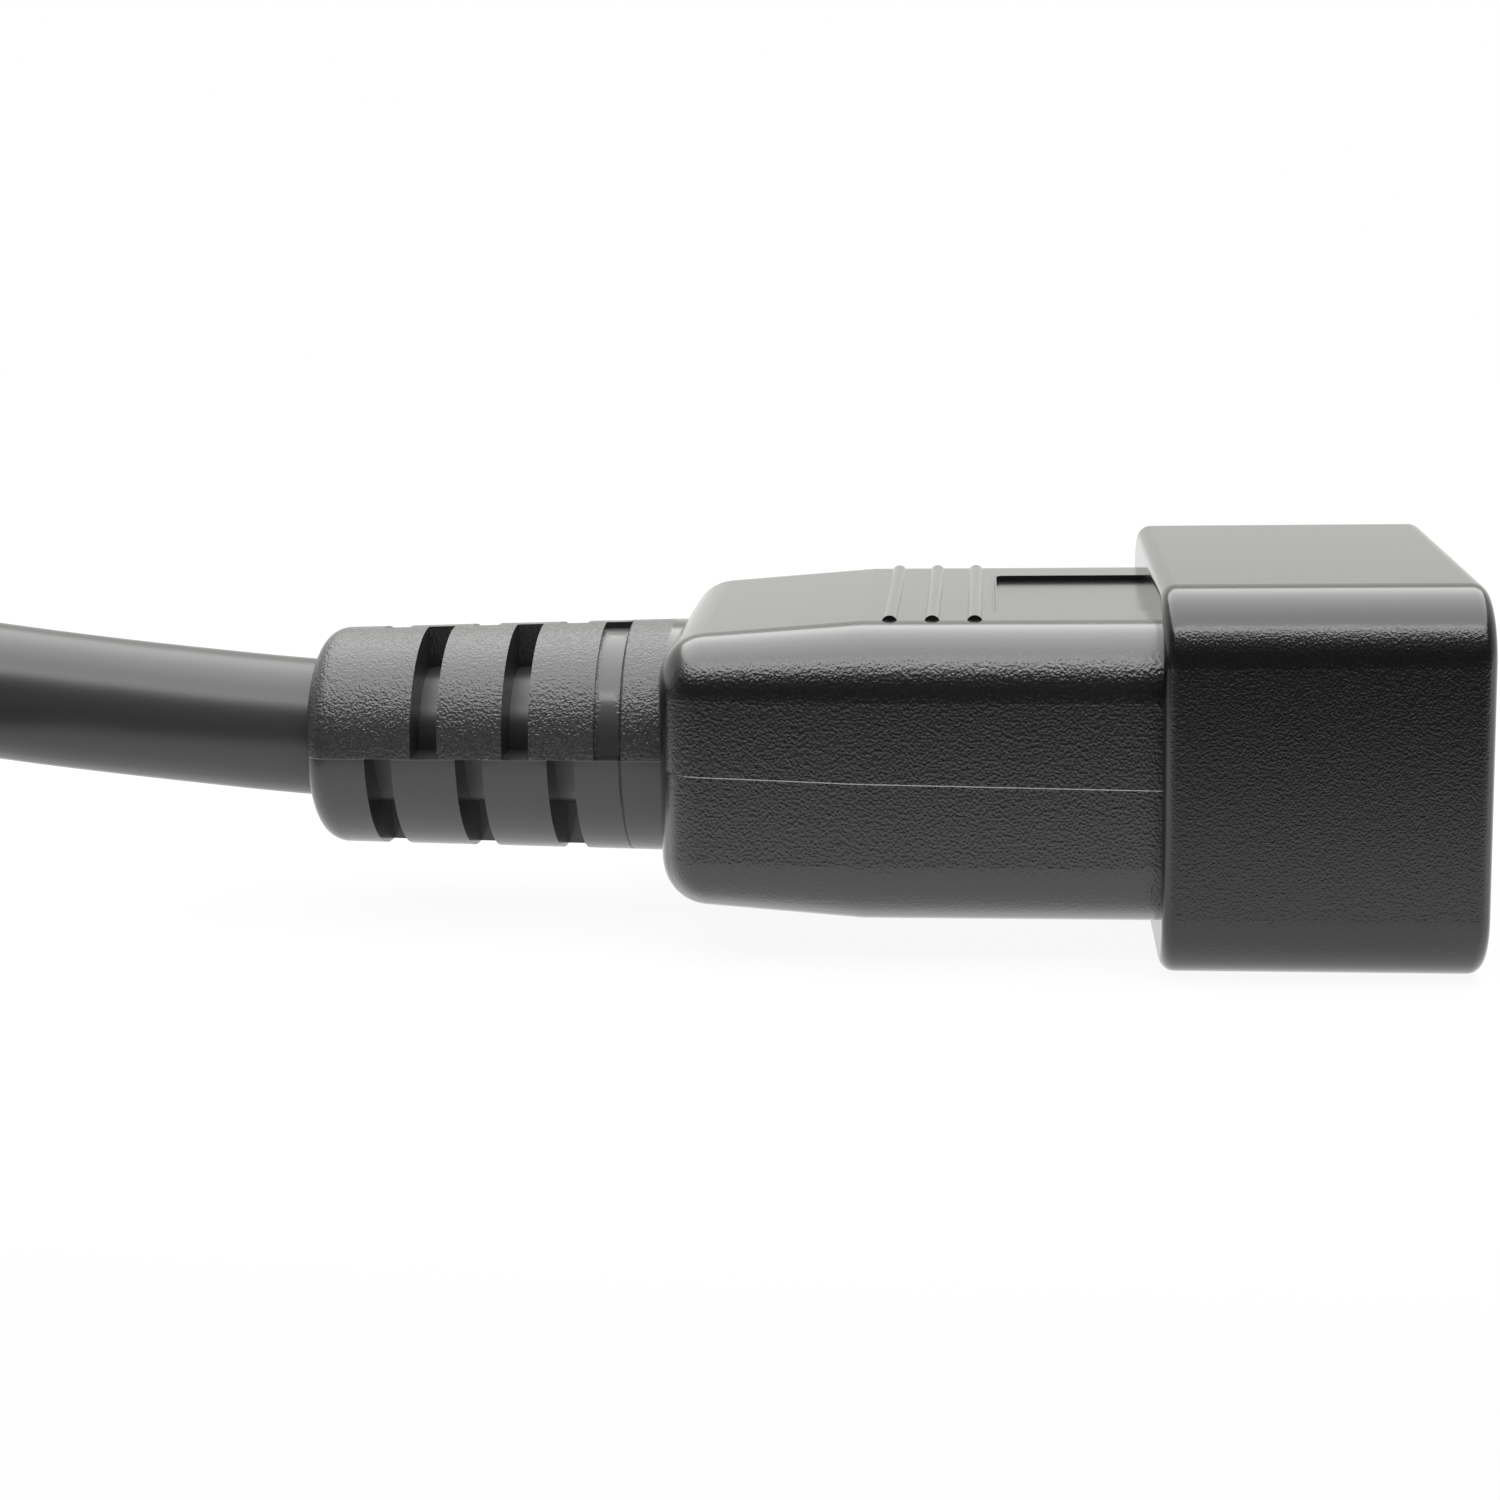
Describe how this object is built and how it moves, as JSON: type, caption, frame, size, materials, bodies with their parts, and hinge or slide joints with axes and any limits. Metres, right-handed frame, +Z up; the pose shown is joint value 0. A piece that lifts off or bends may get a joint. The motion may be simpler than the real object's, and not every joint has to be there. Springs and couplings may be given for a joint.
{
  "type": "c20 power plug with its lead",
  "caption": "Moulded mains plug in a box-shaped shroud round flat blades, with a ribbed grip, slotted strain relief and coiled lead to a matching connector.",
  "frame": {"origin": "centre of the shroud's lower wide face, which the plug rests on", "axes": "+X along the plug towards its mouth, +Y across its wide side to the picture's far side, +Z up through its narrow side"},
  "size_m": [0.207, 0.1296, 0.0412],
  "materials": {
    "housing": "fine-grained black moulding, rigid",
    "grip": "leather-grained black soft PVC",
    "jacket": "smooth black PVC cord jacket, slightly glossy",
    "blade": "nickel-plated, satin",
    "contact": "bare spring brass",
    "strands": "bare bunched copper",
    "line_insulation": "black core insulation",
    "neutral_insulation": "white core insulation",
    "earth_insulation": "green core insulation",
    "filler": "twisted paper string",
    "inner_mould": "grey inner moulding, bare"
  },
  "bodies": {
    "root": {"shroud_housing": "housing", "plug_grip": "grip", "line_blade": "blade", "neutral_blade": "blade", "earth_blade": "blade", "plug_inner_mould": "inner_mould", "plug_jacket_end": "jacket", "plug_cord_fillers": "filler", "plug_line_core": "line_insulation", "plug_line_conductor": "strands", "plug_neutral_core": "neutral_insulation", "plug_neutral_conductor": "strands", "plug_earth_core": "earth_insulation", "plug_earth_conductor": "strands", "connector_nose": "housing", "connector_grip": "grip", "connector_line_contact": "contact", "connector_neutral_contact": "contact", "connector_earth_contact": "contact", "connector_inner_mould": "inner_mould", "connector_jacket_end": "jacket", "connector_cord_fillers": "filler", "connector_line_core": "line_insulation", "connector_line_conductor": "strands", "connector_neutral_core": "neutral_insulation", "connector_neutral_conductor": "strands", "connector_earth_core": "earth_insulation", "connector_earth_conductor": "strands", "free_cord": "jacket", "cord_coil": "jacket", "cord_tail": "jacket"}
  },
  "joints": []
}
